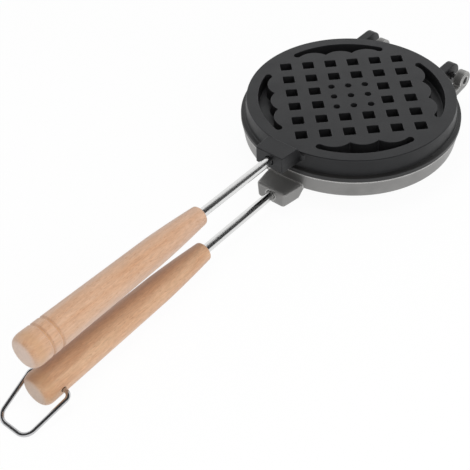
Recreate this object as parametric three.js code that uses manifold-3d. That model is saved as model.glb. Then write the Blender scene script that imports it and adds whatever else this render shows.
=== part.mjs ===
// Stove-top waffle iron: two round cast plates that hinge open like a book, each with a steel
// rod and a turned wooden handle, and a wire loop that latches the two handles together.
// Millimetres, +Z up, +X from the handles to the hinge. Each half is drawn in its own half frame:
// origin at the plate's centre in the parting plane, +Z out through the half's own face.
import * as THREE from "three";
import { mergeVertices } from "three/addons/utils/BufferGeometryUtils.js";
import Module from "manifold-3d";

const wasm = await Module();
wasm.setup();

// Plates
const faceHeight = 14.3; // parting plane to the outside face
const web = 3; // metal between the face and the hollow, and over each stud
const seamGap = 0.3; // between the two rims when the iron is shut
const upperRimRadius = 73.7; // upper plate's outer edge, which the rest follows
const upperRimHeight = 2.9;
const upperFlangeWidth = 2.9; // rim's edge to the foot of the wall
const upperLedgeWidth = 1.4; // foot of the wall to where the flange starts to slope
const upperLedgeRise = 0.35;
const upperCoveRadius = 1.2;
const upperDraft = 1; // by which the wall leans in at the face
const upperFaceEdge = 0.7;
const lowerRimShy = 0.3; // lower plate's edge inside the upper one's
const lowerDraft = 2.2;
const lowerEdgeWidth = 4; // wall to where the face is flat
const lowerFaceEdge = 4.2; // face to where the wall is straight
const wallThickness = 5.3; // foot of the upper wall to the hollow at the web
const hollowDraft = 1; // by which the hollow widens towards the rim

// Radii from the plate's centre
const upperWallRadius = upperRimRadius - upperFlangeWidth;
const upperLedgeRadius = upperWallRadius + upperLedgeWidth;
const upperFaceRadius = upperWallRadius - upperDraft;
const lowerRimRadius = upperRimRadius - lowerRimShy;
const lowerWallRadius = lowerRimRadius - lowerDraft;
const lowerFaceRadius = lowerWallRadius - lowerEdgeWidth;
const hollowRadius = upperWallRadius - wallThickness;

// Pattern in both plates: pits outside, studs inside
const pitPitch = 15.5;
const pitSide = 7.75;
const pitDepth = 8.5;
const pitDraft = 0.3; // by which each side of a pit leans in at its floor
const studWall = 1.9; // metal round a pit, seen from inside
const dimplePitch = 11.4;
const dimpleRadius = 2.3;
const dimpleFloorRadius = 1.4;
const dimpleDepth = 3.8;
const dimpleWall = 1.8;
const crescentMargin = 3.5; // hollow's wall to the outer edge of each crescent
const crescentEndShare = 0.0387; // this and the next three are shares of that edge's radius
const scallopRadiusShare = 0.2145;
const scallopReachShare = 0.6532; // plate's centre to the line of the scallops' centres
const scallopPitchShare = 0.2968;
const crescentRadius = hollowRadius - crescentMargin;
const crescentEndRadius = crescentRadius * crescentEndShare;
const scallopRadius = crescentRadius * scallopRadiusShare;
const scallopReach = crescentRadius * scallopReachShare;
const scallopPitch = crescentRadius * scallopPitchShare;

// Handle block of each plate; the lower one is a little smaller and has rounder edges
const upperBlockLength = 17.2; // wall to the front face
const lowerBlockLength = 16;
const blockNeck = 4.9; // wall to where the block is full width
const blockBury = 1.1; // hollow to the block's root, inside the wall
const upperBlockFrontWidth = 21;
const lowerBlockFrontWidth = 19.4;
const blockShoulderWidth = 23;
const blockRootWidth = 29;
const blockLow = 9;
const blockHigh = 20.3;
const upperRidgeReach = 3.2; // wall to the back edge of the block's top
const lowerRidgeReach = 1.5;
const upperToeReach = 5; // hollow to where the slope behind that edge meets the face
const lowerToeReach = 3.2;
const upperBlockEdge = 0.9;
const lowerBlockEdge = 1.4;
const blockCorner = 2;
const mouthRadius = 4.2; // countersink round the rod
const mouthDepth = 1.2;
const blockShoulder = upperWallRadius + blockNeck;
const blockRoot = hollowRadius + blockBury;

// Rods and handles, along an axis that leans out from the parting plane
const rodRadius = 3;
const rodHeight = 14.5; // axis above the parting plane at the block's front face
const rodSplay = THREE.MathUtils.degToRad(0.44);
const rodSeat = 16; // depth in the block
const rodBare = 65; // bare length between block and handle
const rodTailLength = 90; // in the handle
const rodChamfer = 0.5;
const seatGap = 0.3; // round everything that is pressed, glued or hooked in
const handleLength = 138.5;
const handleFrontRadius = 6.2;
const handleTaperRadius = 8.1; // where the straight taper would start if the handle had no neck
const handleButtRadius = 10.6;
const handleFrontRound = 1.3;
const handleButtRound = 3; // by which the butt's rounded end leans in
const handleButtDome = 6.5; // length of that rounded end
const neckLength = 42;
const neckPower = 1.5; // how soon the neck runs into the taper
const grooveSetbacks = [20.1, 13.3]; // of the turned grooves from the butt
const grooveWidth = 2.2;
const grooveDepth = 1;

// Hinge: on each half an outer knuckle with a through hole and an inner one with a fixed pin
const hingeClearance = 5.6; // upper rim's edge to the hinge axis
const knuckleWidth = 6.5;
const innerKnuckle = 25; // centre plane to the near side of the inner knuckle
const outerKnuckle = 35.5;
const upperKnuckleRadius = 8.5;
const upperArmLow = 0.4; // underside of the arm above the parting plane
const upperArmHigh = 8.5; // top of the arm where it leaves the wall
const lowerKnuckleRadius = 6.5;
const lowerArmLow = 2;
const lowerArmHigh = 10;
const armBury = 2.5; // hollow to the arms' roots, inside the wall
const knuckleEdge = 0.5;
const pinRadius = 2.5;
const pinSeat = 5;
const pinShy = 1.8; // pin's end short of the outer knuckle's outside
const pinChamfer = 0.4;
const hingeReach = upperRimRadius + hingeClearance;
const armRootRadius = hollowRadius + armBury;

// Latch loop
const wireRadius = 1.35;
const loopSetback = 12.3; // pivot from the handle's butt
const loopOffset = 0.8; // pivot out from the handle's axis
const loopReach = 32.5; // pivot to the middle of the tip
const loopRootWidth = 32;
const loopTipWidth = 22.2;
const loopInset = 6; // wire's ends from the centre plane
const loopRootBend = 3.6;
const loopTipBend = 7;
const loopDroop = THREE.MathUtils.degToRad(19); // how far it hangs below the handle's line at rest

// Fineness of round shapes, and the overrun of every cut
const plateSides = 64;
const handleSides = 24;
const rodSides = 16;
const boreSides = 16;
const dimpleSides = 10;
const wireSides = 8;
const wireSteps = 64;
const arcSteps = 3;
const neckSteps = 7;
const overrun = 1;
const weldDistance = 0.001;

const materials = {
  upperCast: new THREE.MeshStandardMaterial({ color: 0x434446, roughness: 0.55, metalness: 0.4 }),
  lowerCast: new THREE.MeshStandardMaterial({ color: 0x85827c, roughness: 0.6, metalness: 0.4 }),
  rod: new THREE.MeshStandardMaterial({ color: 0xc8c8c6, roughness: 0.18, metalness: 1 }),
  upperWood: new THREE.MeshStandardMaterial({ color: 0xdcb896, roughness: 0.6, metalness: 0 }),
  lowerWood: new THREE.MeshStandardMaterial({ color: 0xcf9f78, roughness: 0.6, metalness: 0 }),
  pin: new THREE.MeshStandardMaterial({ color: 0x77777a, roughness: 0.4, metalness: 1 }),
};

// Solids and meshes
function solidOf(geometry) {
  const flat = geometry.index ? geometry.toNonIndexed() : geometry;
  const bare = new THREE.BufferGeometry();
  bare.setAttribute("position", flat.getAttribute("position"));
  const merged = mergeVertices(bare, weldDistance);
  const vertProperties = merged.attributes.position.array;
  return new wasm.Manifold(new wasm.Mesh({ numProp: 3, vertProperties, triVerts: merged.index.array }));
}

function meshOf(name, solid, material) {
  const { vertProperties, triVerts } = solid.getMesh();
  const geometry = new THREE.BufferGeometry();
  geometry.setAttribute("position", new THREE.BufferAttribute(vertProperties, 3));
  geometry.setIndex(new THREE.BufferAttribute(triVerts, 1));
  geometry.computeVertexNormals();
  const mesh = new THREE.Mesh(geometry, material);
  mesh.name = name;
  return mesh;
}

// A solid of revolution about +Z; the path runs in radius and height, from axis to axis.
function turned(path, sides) {
  return new THREE.LatheGeometry(path.getPoints(arcSteps), sides).rotateX(Math.PI / 2);
}

// A cylinder or cone about +Z from one height to another.
function roundBar(lowRadius, highRadius, low, high, sides) {
  const bar = new THREE.CylinderGeometry(highRadius, lowRadius, high - low, sides);
  return bar.rotateX(Math.PI / 2).translate(0, 0, (low + high) / 2);
}

// A square block about +Z whose sides lean, aligned with the X and Y axes.
function squareBar(lowSide, highSide, low, high) {
  const bar = new THREE.CylinderGeometry(highSide / Math.SQRT2, lowSide / Math.SQRT2, high - low, 4);
  return bar.rotateY(Math.PI / 4).rotateX(Math.PI / 2).translate(0, 0, (low + high) / 2);
}

// A shape drawn in x and z, as thick as asked from y towards +Y.
function slab(shape, y, thickness, edge = 0) {
  const extrusion = new THREE.ExtrudeGeometry(shape, {
    depth: thickness - edge * 2,
    bevelEnabled: edge > 0,
    bevelThickness: edge,
    bevelSize: edge,
    bevelOffset: -edge,
    bevelSegments: 1,
    curveSegments: arcSteps * 2,
  });
  return extrusion.rotateX(Math.PI / 2).translate(0, y + thickness - edge, 0);
}

// Plates
const hollowHeight = faceHeight - web;
const studTip = faceHeight - pitDepth - web;
const seam = seamGap / 2;
const halves = {
  upper: {
    outline: upperOutline(),
    blockFront: upperWallRadius + upperBlockLength,
    blockFrontWidth: upperBlockFrontWidth,
    blockRidge: upperWallRadius + upperRidgeReach,
    blockToe: hollowRadius + upperToeReach,
    blockEdge: upperBlockEdge,
    knuckleRadius: upperKnuckleRadius,
    armLow: upperArmLow,
    armHigh: upperArmHigh,
  },
  lower: {
    outline: lowerOutline(),
    blockFront: upperWallRadius + lowerBlockLength,
    blockFrontWidth: lowerBlockFrontWidth,
    blockRidge: upperWallRadius + lowerRidgeReach,
    blockToe: hollowRadius + lowerToeReach,
    blockEdge: lowerBlockEdge,
    knuckleRadius: lowerKnuckleRadius,
    armLow: lowerArmLow,
    armHigh: lowerArmHigh,
  },
};

// The upper casting has a stepped rim: a flat flange, a cove, then a nearly upright wall.
function upperOutline() {
  const ledge = upperRimHeight + upperLedgeRise;
  const outline = new THREE.Path();
  outline.moveTo(0, seam);
  outline.lineTo(upperRimRadius, seam);
  outline.lineTo(upperRimRadius, upperRimHeight);
  outline.lineTo(upperLedgeRadius, ledge);
  outline.quadraticCurveTo(upperWallRadius, ledge, upperWallRadius, ledge + upperCoveRadius);
  outline.lineTo(upperFaceRadius, faceHeight - upperFaceEdge);
  outline.quadraticCurveTo(
    upperFaceRadius, faceHeight,
    upperFaceRadius - upperFaceEdge, faceHeight,
  );
  outline.lineTo(0, faceHeight);
  return outline;
}

// The lower casting is a plain drum that leans in towards a well-rounded edge.
function lowerOutline() {
  const outline = new THREE.Path();
  outline.moveTo(0, seam);
  outline.lineTo(lowerRimRadius, seam);
  outline.lineTo(lowerWallRadius, faceHeight - lowerFaceEdge);
  outline.quadraticCurveTo(lowerWallRadius, faceHeight, lowerFaceRadius, faceHeight);
  outline.lineTo(0, faceHeight);
  return outline;
}

function hollow() {
  const outline = new THREE.Path();
  outline.moveTo(0, seam - overrun);
  outline.lineTo(hollowRadius + hollowDraft, seam - overrun);
  outline.lineTo(hollowRadius + hollowDraft, seam);
  outline.lineTo(hollowRadius, hollowHeight);
  outline.lineTo(0, hollowHeight);
  return turned(outline, plateSides);
}

// Places of the pits and dimples, on a grid that lies at 45 degrees to the handles.
function squareGrid(count, pitch) {
  const places = [];
  const middle = (count - 1) / 2;
  for (let i = 0; i < count; i += 1) {
    for (let j = 0; j < count; j += 1) places.push([(i - middle) * pitch, (j - middle) * pitch]);
  }
  return places;
}

const pitPlaces = squareGrid(6, pitPitch).filter((place) => {
  return Math.max(...place.map(Math.abs)) > pitPitch; // the middle is left to the dimples
});
const dimplePlaces = squareGrid(3, dimplePitch);

// A crescent between an outer arc and three convex scallops, grown by a wall all round.
function crescentShape(wall, outerRadius) {
  const bump = scallopRadius - wall;
  const end = crescentEndRadius + wall;
  const reach = crescentRadius - crescentEndRadius;
  const scallopDistance = Math.hypot(scallopReach, scallopPitch);
  const touch = bump + end;
  const spread = Math.acos(
    (reach ** 2 + scallopDistance ** 2 - touch ** 2) / (2 * reach * scallopDistance),
  );
  const halfAngle = Math.atan2(scallopPitch, scallopReach) + spread;
  const endX = reach * Math.cos(halfAngle);
  const endY = reach * Math.sin(halfAngle);
  const lean = Math.atan2(endY - scallopPitch, endX - scallopReach);
  const cusp = Math.asin(scallopPitch / 2 / bump);
  const shape = new THREE.Shape();
  shape.absarc(0, 0, outerRadius, -halfAngle, halfAngle, false);
  shape.absarc(endX, endY, end, halfAngle, lean + Math.PI, false);
  shape.absarc(scallopReach, scallopPitch, bump, lean, -cusp, true);
  shape.absarc(scallopReach, 0, bump, cusp, -cusp, true);
  shape.absarc(scallopReach, -scallopPitch, bump, cusp, -lean, true);
  shape.absarc(endX, -endY, end, Math.PI - lean, 2 * Math.PI - halfAngle, false);
  return shape;
}

function crescent(wall, outerRadius, low, high) {
  const extrusion = new THREE.ExtrudeGeometry(crescentShape(wall, outerRadius), {
    depth: high - low,
    bevelEnabled: false,
    curveSegments: arcSteps,
  });
  return extrusion.translate(0, 0, low);
}

// Studs inside the plate, which print the waffle, each with a pit behind it.
function studs() {
  const root = hollowHeight + web / 2;
  const tipSide = pitSide + (studWall - pitDraft) * 2;
  const rootSide = pitSide + studWall * 2;
  const parts = pitPlaces.map(([u, v]) => {
    return squareBar(tipSide, rootSide, studTip, root).translate(u, v, 0);
  });
  const dimpleTip = faceHeight - dimpleDepth - web;
  dimplePlaces.forEach(([u, v]) => {
    const tip = dimpleFloorRadius + dimpleWall;
    const foot = dimpleRadius + dimpleWall;
    parts.push(roundBar(tip, foot, dimpleTip, root, dimpleSides).translate(u, v, 0));
  });
  quarterTurns().forEach((turn) => {
    parts.push(crescent(studWall, armRootRadius, studTip, root).rotateZ(turn));
  });
  return parts;
}

function pits() {
  const top = faceHeight + overrun;
  const spread = (pitDraft * 2 * overrun) / pitDepth;
  const floorSide = pitSide - pitDraft * 2;
  const floor = faceHeight - pitDepth;
  const parts = pitPlaces.map(([u, v]) => {
    return squareBar(floorSide, pitSide + spread, floor, top).translate(u, v, 0);
  });
  dimplePlaces.forEach(([u, v]) => {
    const dimpleFloor = faceHeight - dimpleDepth;
    const lean = (dimpleRadius - dimpleFloorRadius) / dimpleDepth;
    const mouth = dimpleRadius + lean * overrun;
    parts.push(roundBar(dimpleFloorRadius, mouth, dimpleFloor, top, dimpleSides).translate(u, v, 0));
  });
  quarterTurns().forEach((turn) => {
    parts.push(crescent(0, crescentRadius, floor, top).rotateZ(turn));
  });
  return parts;
}

function quarterTurns() {
  return [0, 1, 2, 3].map((quarter) => (quarter * Math.PI) / 2);
}

// The block that holds the rod: a flared plan, rounded along its edges, with a slope down to the face.
function block(half) {
  const { blockFront, blockRidge, blockToe, blockEdge } = half;
  const plan = new THREE.Shape();
  const front = half.blockFrontWidth / 2;
  const shoulder = blockShoulderWidth / 2;
  const root = blockRootWidth / 2;
  plan.moveTo(-blockRoot, -root);
  plan.lineTo(-blockRoot, root);
  plan.quadraticCurveTo(-blockToe, shoulder, -blockShoulder, shoulder);
  plan.lineTo(-blockFront + blockCorner, front + flare(half, blockCorner));
  plan.quadraticCurveTo(-blockFront, front, -blockFront, front - blockCorner);
  plan.lineTo(-blockFront, -front + blockCorner);
  plan.quadraticCurveTo(
    -blockFront, -front,
    -blockFront + blockCorner, -front - flare(half, blockCorner),
  );
  plan.lineTo(-blockShoulder, -shoulder);
  plan.quadraticCurveTo(-blockToe, -shoulder, -blockRoot, -root);
  const body = new THREE.ExtrudeGeometry(plan, {
    depth: blockHigh - blockLow - blockEdge * 2,
    bevelThickness: blockEdge,
    bevelSize: blockEdge,
    bevelOffset: -blockEdge,
    bevelSegments: 2,
    curveSegments: arcSteps,
  });
  body.translate(0, 0, blockLow + blockEdge);

  const slope = (blockRidge - blockToe) / (blockHigh - faceHeight);
  const side = new THREE.Shape();
  side.moveTo(-blockFront - overrun, blockLow - overrun);
  side.lineTo(-blockRoot + overrun, blockLow - overrun);
  side.lineTo(-blockRoot + overrun, faceHeight);
  side.lineTo(-blockToe, faceHeight);
  side.lineTo(-blockRidge - slope * overrun, blockHigh + overrun);
  side.lineTo(-blockFront - overrun, blockHigh + overrun);
  return solidOf(body).intersect(solidOf(slab(side, -root - overrun, (root + overrun) * 2)));
}

// How much wider the block's flank is at a distance behind its front face.
function flare(half, distance) {
  return (distance * (blockShoulderWidth - half.blockFrontWidth)) / 2 / (half.blockFront - blockShoulder);
}

// A hinge arm and its knuckle: a round end whose top runs tangent to where the arm leaves the wall.
function lug(half, near) {
  const radius = half.knuckleRadius;
  const root = Math.sqrt(armRootRadius ** 2 - (near + knuckleWidth) ** 2);
  const run = hingeReach - root;
  const slant = Math.atan2(half.armHigh, run) + Math.acos(radius / Math.hypot(run, half.armHigh));
  const shape = new THREE.Shape();
  shape.moveTo(root, half.armLow);
  const under = Math.asin(half.armLow / radius);
  shape.absarc(hingeReach, 0, radius, Math.PI - under, Math.PI - slant, false);
  shape.lineTo(root, half.armHigh);
  return shape;
}

function lugs(half) {
  return [
    slab(lug(half, outerKnuckle), outerKnuckle, knuckleWidth, knuckleEdge),
    slab(lug(half, innerKnuckle), -innerKnuckle - knuckleWidth, knuckleWidth, knuckleEdge),
  ];
}

// A round bar about the hinge axis, between two distances along it.
function hingeBar(radius, from, to, sides) {
  return roundBar(radius, radius, from, to, sides).rotateX(Math.PI / 2).translate(hingeReach, 0, 0);
}

function hingeBores() {
  const bore = pinRadius + seatGap;
  const pinFace = innerKnuckle + knuckleWidth;
  return [
    hingeBar(bore, -outerKnuckle - knuckleWidth - overrun, -outerKnuckle + overrun, boreSides),
    hingeBar(bore, pinFace - pinSeat, pinFace + overrun, boreSides),
  ];
}

function rodBore(half) {
  const bore = rodRadius + seatGap;
  const widen = ((mouthRadius - bore) * overrun) / mouthDepth;
  return [
    placeOnRod(half, roundBar(bore, bore, -rodSeat - seatGap, overrun, rodSides)),
    placeOnRod(half, roundBar(bore, mouthRadius + widen, -mouthDepth, overrun, rodSides)),
  ];
}

function castPlate(half) {
  let plate = solidOf(turned(half.outline, plateSides)).add(block(half));
  lugs(half).forEach((part) => {
    plate = plate.add(solidOf(part));
  });
  plate = plate.subtract(solidOf(hollow()));
  const turn = Math.PI / 4;
  studs().forEach((part) => {
    plate = plate.add(solidOf(part.rotateZ(turn)));
  });
  pits().forEach((part) => {
    plate = plate.subtract(solidOf(part.rotateZ(turn)));
  });
  [...hingeBores(), ...rodBore(half)].forEach((part) => {
    plate = plate.subtract(solidOf(part));
  });
  return plate;
}

// Rods and handles. Their own axis is +Z, from the block's front face towards the butt.
const gripStart = rodBare;
const gripEnd = rodBare + handleLength;
const loopStation = gripEnd - loopSetback;

// Moves a geometry from the rod's own axis to the half frame.
function placeOnRod(half, geometry) {
  return geometry.rotateY(rodSplay - Math.PI / 2).translate(-half.blockFront, 0, rodHeight);
}

// A point at a station along the rod, offset out from its axis, in the half frame.
function pointOnRod(half, offset, station) {
  const lean = new THREE.Euler(0, rodSplay - Math.PI / 2, 0);
  const start = new THREE.Vector3(-half.blockFront, 0, rodHeight);
  return new THREE.Vector3(offset, 0, station).applyEuler(lean).add(start);
}

function rod(half) {
  const from = -rodSeat;
  const to = gripStart + rodTailLength;
  const outline = new THREE.Path();
  outline.moveTo(0, from);
  outline.lineTo(rodRadius - rodChamfer, from);
  outline.lineTo(rodRadius, from + rodChamfer);
  outline.lineTo(rodRadius, to - rodChamfer);
  outline.lineTo(rodRadius - rodChamfer, to);
  outline.lineTo(0, to);
  return solidOf(placeOnRod(half, turned(outline, rodSides)));
}

// A slow straight taper, narrowed over the neck at its front.
function handleRadius(station) {
  const along = station - gripStart;
  const taper = handleTaperRadius + ((handleButtRadius - handleTaperRadius) * along) / handleLength;
  const neck = Math.max(0, 1 - along / neckLength) ** neckPower;
  return taper - (handleTaperRadius - handleFrontRadius) * neck;
}

// Drops the outline into a rounded groove and out again.
function turnGroove(outline, station) {
  const half = grooveWidth / 2;
  const before = handleRadius(station - half);
  const after = handleRadius(station + half);
  outline.lineTo(before, station - half);
  outline.quadraticCurveTo(before - grooveDepth, station - half, before - grooveDepth, station);
  outline.quadraticCurveTo(after - grooveDepth, station + half, after, station + half);
}

function handle(half, grooves) {
  const bore = rodRadius + seatGap;
  const outline = new THREE.Path();
  const boreEnd = gripStart + rodTailLength + seatGap;
  outline.moveTo(0, boreEnd);
  outline.lineTo(bore, boreEnd);
  outline.lineTo(bore, gripStart);
  outline.lineTo(handleFrontRadius - handleFrontRound, gripStart);
  const frontEnd = gripStart + handleFrontRound;
  outline.quadraticCurveTo(handleFrontRadius, gripStart, handleRadius(frontEnd), frontEnd);
  for (let step = 1; step <= neckSteps; step += 1) {
    const station = frontEnd + ((gripStart + neckLength - frontEnd) * step) / neckSteps;
    outline.lineTo(handleRadius(station), station);
  }
  grooves.forEach((setback) => turnGroove(outline, gripEnd - setback));
  const roundStart = gripEnd - handleButtDome;
  outline.lineTo(handleRadius(roundStart), roundStart);
  outline.quadraticCurveTo(handleButtRadius, gripEnd, handleButtRadius - handleButtRound, gripEnd);
  outline.lineTo(0, gripEnd);
  return solidOf(placeOnRod(half, turned(outline, handleSides)));
}

// The two blind holes across the lower handle that the loop's ends sit in.
function loopHoles() {
  const hole = wireRadius + seatGap;
  const inner = loopInset - seatGap;
  const outer = handleButtRadius + overrun;
  return [-1, 1].map((side) => {
    const drill = roundBar(hole, hole, inner, outer, boreSides).rotateX((side * Math.PI) / 2);
    return placeOnRod(halves.lower, drill.translate(loopOffset, 0, loopStation));
  });
}

function hingePin() {
  const from = innerKnuckle + knuckleWidth - pinSeat + seatGap;
  const to = outerKnuckle + knuckleWidth - pinShy;
  const outline = new THREE.Path();
  outline.moveTo(0, from);
  outline.lineTo(pinRadius, from);
  outline.lineTo(pinRadius, to - pinChamfer);
  outline.lineTo(pinRadius - pinChamfer, to);
  outline.lineTo(0, to);
  return solidOf(turned(outline, boreSides).rotateX(Math.PI / 2).translate(hingeReach, 0, 0));
}

// Latch loop, flat in x and y with its pivot along the Y axis.
function roundedPath(corners, bends) {
  const path = new THREE.CurvePath();
  let from = corners[0];
  bends.forEach((bend, i) => {
    const corner = corners[i + 1];
    const back = corners[i].clone().sub(corner).normalize();
    const on = corners[i + 2].clone().sub(corner).normalize();
    const trim = bend / Math.tan(back.angleTo(on) / 2);
    const start = corner.clone().addScaledVector(back, trim);
    const end = corner.clone().addScaledVector(on, trim);
    path.add(new THREE.LineCurve3(from, start));
    path.add(new THREE.QuadraticBezierCurve3(start, corner, end));
    from = end;
  });
  path.add(new THREE.LineCurve3(from, corners.at(-1)));
  return path;
}

function latchLoop() {
  const root = loopRootWidth / 2;
  const tip = loopTipWidth / 2;
  const corners = [
    new THREE.Vector3(0, loopInset, 0),
    new THREE.Vector3(0, root, 0),
    new THREE.Vector3(-loopReach, tip, 0),
    new THREE.Vector3(-loopReach, -tip, 0),
    new THREE.Vector3(0, -root, 0),
    new THREE.Vector3(0, -loopInset, 0),
  ];
  const path = roundedPath(corners, [loopRootBend, loopTipBend, loopTipBend, loopRootBend]);
  const section = new THREE.Shape().absarc(0, 0, wireRadius, 0, 2 * Math.PI, false);
  return solidOf(
    new THREE.ExtrudeGeometry(section, {
      extrudePath: path,
      steps: wireSteps,
      curveSegments: wireSides / 2,
    }),
  );
}

// Assembly
const upperHalf = new THREE.Group();
upperHalf.add(meshOf("upper_plate", castPlate(halves.upper), materials.upperCast));
upperHalf.add(meshOf("upper_rod", rod(halves.upper), materials.rod));
upperHalf.add(meshOf("upper_handle", handle(halves.upper, grooveSetbacks), materials.upperWood));
upperHalf.add(meshOf("upper_hinge_pin", hingePin(), materials.pin));

// The lower half is turned over about the X axis, so the hinge knuckles of the two interlock.
const drilledHandle = loopHoles().reduce((solid, hole) => {
  return solid.subtract(solidOf(hole));
}, handle(halves.lower, []));
const lowerHalf = new THREE.Group();
lowerHalf.rotation.x = Math.PI;
lowerHalf.add(meshOf("lower_plate", castPlate(halves.lower), materials.lowerCast));
lowerHalf.add(meshOf("lower_rod", rod(halves.lower), materials.rod));
lowerHalf.add(meshOf("lower_handle", drilledHandle, materials.lowerWood));
lowerHalf.add(meshOf("lower_hinge_pin", hingePin(), materials.pin));

const pivot = pointOnRod(halves.lower, loopOffset, loopStation);
const latch = meshOf("latch_loop", latchLoop(), materials.rod);
latch.position.set(pivot.x, 0, -pivot.z);
latch.rotation.y = -loopDroop;

const iron = new THREE.Group();
iron.add(upperHalf, lowerHalf, latch);

// The part's origin is under the middle of its box.
const box = new THREE.Box3().setFromObject(iron, true);
const middle = box.getCenter(new THREE.Vector3());
iron.position.set(-middle.x, -middle.y, -box.min.z);

const part = new THREE.Group();
part.add(iron);
export default part;
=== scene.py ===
import math

import bmesh
import bpy
from mathutils import Matrix, Vector


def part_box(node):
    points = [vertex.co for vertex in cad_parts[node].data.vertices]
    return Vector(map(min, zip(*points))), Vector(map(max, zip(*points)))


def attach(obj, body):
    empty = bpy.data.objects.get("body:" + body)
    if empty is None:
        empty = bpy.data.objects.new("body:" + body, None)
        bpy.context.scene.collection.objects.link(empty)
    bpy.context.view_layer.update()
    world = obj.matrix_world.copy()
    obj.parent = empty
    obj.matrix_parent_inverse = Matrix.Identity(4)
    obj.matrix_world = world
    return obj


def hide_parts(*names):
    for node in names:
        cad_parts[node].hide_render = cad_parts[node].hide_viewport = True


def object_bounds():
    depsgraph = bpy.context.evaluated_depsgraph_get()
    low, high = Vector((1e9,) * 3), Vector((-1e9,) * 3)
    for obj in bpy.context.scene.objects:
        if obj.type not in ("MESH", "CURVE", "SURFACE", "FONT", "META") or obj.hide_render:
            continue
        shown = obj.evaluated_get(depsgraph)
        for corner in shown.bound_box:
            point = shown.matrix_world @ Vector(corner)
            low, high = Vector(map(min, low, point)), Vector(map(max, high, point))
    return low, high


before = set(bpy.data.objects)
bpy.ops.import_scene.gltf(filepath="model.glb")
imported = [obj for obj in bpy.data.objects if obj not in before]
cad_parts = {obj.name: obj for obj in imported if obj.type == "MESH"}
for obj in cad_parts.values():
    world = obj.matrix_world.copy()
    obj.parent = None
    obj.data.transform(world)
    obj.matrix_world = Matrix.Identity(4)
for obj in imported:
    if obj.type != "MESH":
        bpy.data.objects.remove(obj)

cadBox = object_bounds()
print("frame loaded:", len(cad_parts), "nodes")

scene = bpy.context.scene
quarter = math.pi / 2
fullTurn = math.pi * 2
overrun = 0.001  # of every cutter past the face that it cuts
weld = 0.000001
hair = 0.00001  # keeps two faces from lying in one plane
smoothAngle = math.radians(32)
bevelAngle = math.radians(28)
roundBevel = 0.5
faceWeight = 100  # the largest faces alone set the shading of a corner


# Node trees
def nodeMaker(nodes, links):
    def add(kind, inputs=(), **settings):
        node = nodes.new(kind)
        for key, value in settings.items():
            setattr(node, key, value)
        for socket, source in inputs:
            if isinstance(source, bpy.types.NodeSocket):
                links.new(source, node.inputs[socket])
            else:
                node.inputs[socket].default_value = source
        return node
    return add


# Outlines and meshes
def roundCorners(corners, steps, closed=True):
    # Corners are (x, y, radius); each rounded one becomes a true arc.
    points = []
    count = len(corners)
    for index, (x, y, radius) in enumerate(corners):
        if radius == 0 or (not closed and index in (0, count - 1)):
            points.append((x, y))
            continue
        corner = Vector((x, y))
        back = (Vector(corners[index - 1][:2]) - corner).normalized()
        onward = (Vector(corners[(index + 1) % count][:2]) - corner).normalized()
        half = back.angle(onward) / 2
        middle = corner + (back + onward).normalized() * radius / math.sin(half)
        start = corner + back * radius / math.tan(half) - middle
        end = corner + onward * radius / math.tan(half) - middle
        first = math.atan2(start.y, start.x)
        sweep = math.remainder(math.atan2(end.y, end.x) - first, fullTurn)
        for step in range(steps + 1):
            angle = first + sweep * step / steps
            points.append((middle.x + radius * math.cos(angle), middle.y + radius * math.sin(angle)))
    return points


def skin(name, rings, matrix=None):
    # A closed body through rings of equal length, with flat ends.
    shape = bmesh.new()
    loops = [[shape.verts.new(point) for point in ring] for ring in rings]
    for near, far in zip(loops, loops[1:]):
        for i in range(len(near)):
            j = (i + 1) % len(near)
            shape.faces.new((near[i], near[j], far[j], far[i]))
    shape.faces.new(list(reversed(loops[0])))
    shape.faces.new(loops[-1])
    bmesh.ops.remove_doubles(shape, verts=shape.verts, dist=weld)
    bmesh.ops.recalc_face_normals(shape, faces=shape.faces)
    mesh = bpy.data.meshes.new(name)
    shape.to_mesh(mesh)
    shape.free()
    obj = bpy.data.objects.new(name, mesh)
    scene.collection.objects.link(obj)
    if matrix is not None:
        mesh.transform(matrix)
    return obj


def turned(name, profile, sides, matrix=None):
    # Profile in radius and height about Z.
    def ring(radius, height):
        angles = (fullTurn * side / sides for side in range(sides))
        return [(radius * math.cos(a), radius * math.sin(a), height) for a in angles]
    return skin(name, [ring(radius, height) for radius, height in profile], matrix)


def prism(name, outline, low, high, matrix):
    return skin(name, [[(x, y, z) for x, y in outline] for z in (low, high)], matrix)


def joined(name, objects):
    whole = bmesh.new()
    for obj in objects:
        whole.from_mesh(obj.data)
        bpy.data.objects.remove(obj)
    mesh = bpy.data.meshes.new(name)
    whole.to_mesh(mesh)
    whole.free()
    obj = bpy.data.objects.new(name, mesh)
    scene.collection.objects.link(obj)
    return obj


def bevelEdges(obj, width, steps, angle=bevelAngle):
    # Rounds the convex edges that are sharper than the angle.
    shape = bmesh.new()
    shape.from_mesh(obj.data)
    sharp = [e for e in shape.edges if e.is_manifold and e.is_convex and e.calc_face_angle() > angle]
    bmesh.ops.bevel(shape, geom=sharp, offset=width, segments=steps, affect="EDGES", profile=roundBevel)
    shape.to_mesh(obj.data)
    shape.free()
    return obj


def applied(obj):
    # The evaluated mesh takes the place of the object's modifiers.
    bpy.context.view_layer.update()
    result = bpy.data.meshes.new_from_object(obj.evaluated_get(bpy.context.evaluated_depsgraph_get()))
    obj.modifiers.clear()
    obj.data = result
    return obj


def carve(obj, tool, operation):
    boolean = obj.modifiers.new("carve", "BOOLEAN")
    boolean.solver = "MANIFOLD"
    boolean.operation = operation
    boolean.object = tool
    applied(obj)
    bpy.data.objects.remove(tool)
    return obj


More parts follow.
